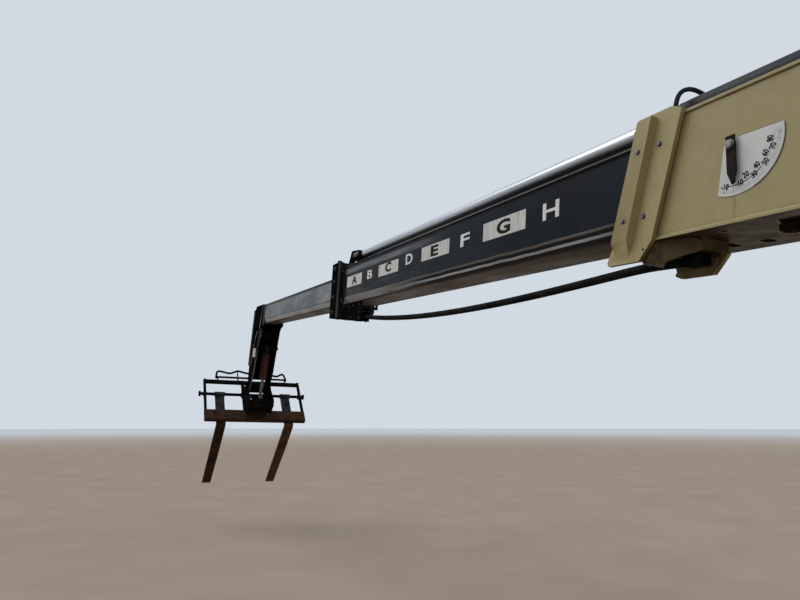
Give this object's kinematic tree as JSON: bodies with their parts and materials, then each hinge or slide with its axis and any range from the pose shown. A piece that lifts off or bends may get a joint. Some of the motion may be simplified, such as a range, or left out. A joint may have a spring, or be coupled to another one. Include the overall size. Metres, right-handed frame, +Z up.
{
  "type": "telescopic handler boom with fork carriage",
  "caption": "Three-section telescopic handler boom, drawn out, with angle dial, extension cylinder, hose carrier, drop head, tilting fork carriage and forks.",
  "frame": {"origin": "middle of the rear pivot bore", "axes": "+X along the boom to its head, +Y left, +Z up; the boom lies level"},
  "size_m": [15.2007, 1.85, 3.4848],
  "materials": {
    "tan_paint": "khaki tan machine enamel, satin, dusty",
    "black_paint": "black machine enamel, worn satin",
    "scuffed_steel": "black enamel scuffed to grey by wear pads",
    "red_paint": "dark red enamel, dusty",
    "rod_chrome": "ground and chromed rod",
    "plain_steel": "dull zinc plated steel",
    "rusty_steel": "brown surface rust, matt",
    "dial_white": "white printed plate, slightly dirty",
    "pad_plastic": "dark sliding plastic",
    "hose_black": "black hydraulic hose cover"
  },
  "bodies": {
    "outer_boom": {"outer_section": "tan_paint", "pivot_tube": "tan_paint", "pivot_doublers": "tan_paint", "outer_collar": "tan_paint", "outer_wear_pads": "pad_plastic", "lift_lugs": "tan_paint", "slave_lugs": "tan_paint", "extension_barrel": "black_paint", "barrel_pin": "plain_steel", "barrel_anchor": "tan_paint", "barrel_saddles": "black_paint", "dial_plate": "dial_white", "pointer_bolt": "plain_steel", "carrier_guide": "tan_paint", "guide_foot": "tan_paint", "carrier_tray": "black_paint", "top_hose": "hose_black", "hose_block": "black_paint"},
    "pointer": {"dial_pointer": "black_paint"},
    "second_boom": {"second_top_plate": "black_paint", "second_webs": "black_paint", "second_folds": "black_paint", "second_bottom_plate": "black_paint", "second_collar": "black_paint", "extension_rod": "rod_chrome", "rod_bracket": "black_paint", "rod_pin": "plain_steel", "hose_box": "black_paint", "hose_carrier": "hose_black", "carrier_clamp": "black_paint", "carrier_shoe": "pad_plastic", "second_wear_pads": "pad_plastic"},
    "third_boom": {"third_top_plate": "scuffed_steel", "third_webs": "scuffed_steel", "third_folds": "scuffed_steel", "third_bottom_plate": "scuffed_steel", "third_rear_pads": "pad_plastic", "head": "black_paint", "carriage_pin": "plain_steel", "tilt_upper_pin": "plain_steel"},
    "tilt_cylinder_barrel": {"tilt_barrel": "red_paint"},
    "tilt_cylinder_rod": {"tilt_rod": "rod_chrome"},
    "carriage": {"coupler": "black_paint", "lower_bar": "rusty_steel", "backrest": "black_paint", "fork_shaft": "black_paint", "hose_bar": "black_paint", "carriage_hose": "hose_black"},
    "left_fork": {"left_fork": "rusty_steel"},
    "right_fork": {"right_fork": "rusty_steel"}
  },
  "joints": [
    {"name": "pointer_swing", "type": "hinge", "parent": "outer_boom", "child": "pointer", "pos_m": [4.867, 0.225, 0.1105], "axis": [0, 1, 0], "range_deg": [-14, 78]},
    {"name": "second_extend", "type": "slide", "parent": "outer_boom", "child": "second_boom", "axis": [1, 0, 0], "range_m": [-3.6, 0.25]},
    {"name": "third_extend", "type": "slide", "parent": "second_boom", "child": "third_boom", "axis": [1, 0, 0], "range_m": [-3.6, 0.25]},
    {"name": "carriage_tilt", "type": "hinge", "parent": "third_boom", "child": "carriage", "pos_m": [13.98, 0, -1.2], "axis": [0, 1, 0], "range_deg": [-61, 30]},
    {"name": "tilt_barrel_swing", "type": "hinge", "parent": "third_boom", "child": "tilt_cylinder_barrel", "pos_m": [13.52, 0, -0.5], "axis": [0, 1, 0], "range_deg": [-9, 5]},
    {"name": "tilt_rod_slide", "type": "slide", "parent": "tilt_cylinder_barrel", "child": "tilt_cylinder_rod", "axis": [0.2669, 0, -0.9637], "range_m": [-0.115, 0.23]},
    {"name": "left_fork_slide", "type": "slide", "parent": "carriage", "child": "left_fork", "axis": [0, 1, 0], "range_m": [-0.27, 0.14]},
    {"name": "right_fork_slide", "type": "slide", "parent": "carriage", "child": "right_fork", "axis": [0, -1, 0], "range_m": [-0.27, 0.14]}
  ],
  "couplings": [
    {"joint": "third_extend", "follows": "second_extend", "ratio": 1},
    {"joint": "tilt_barrel_swing", "follows": "carriage_tilt", "ratio": 0.13},
    {"joint": "tilt_rod_slide", "follows": "carriage_tilt", "m_per_rad": -0.212}
  ]
}
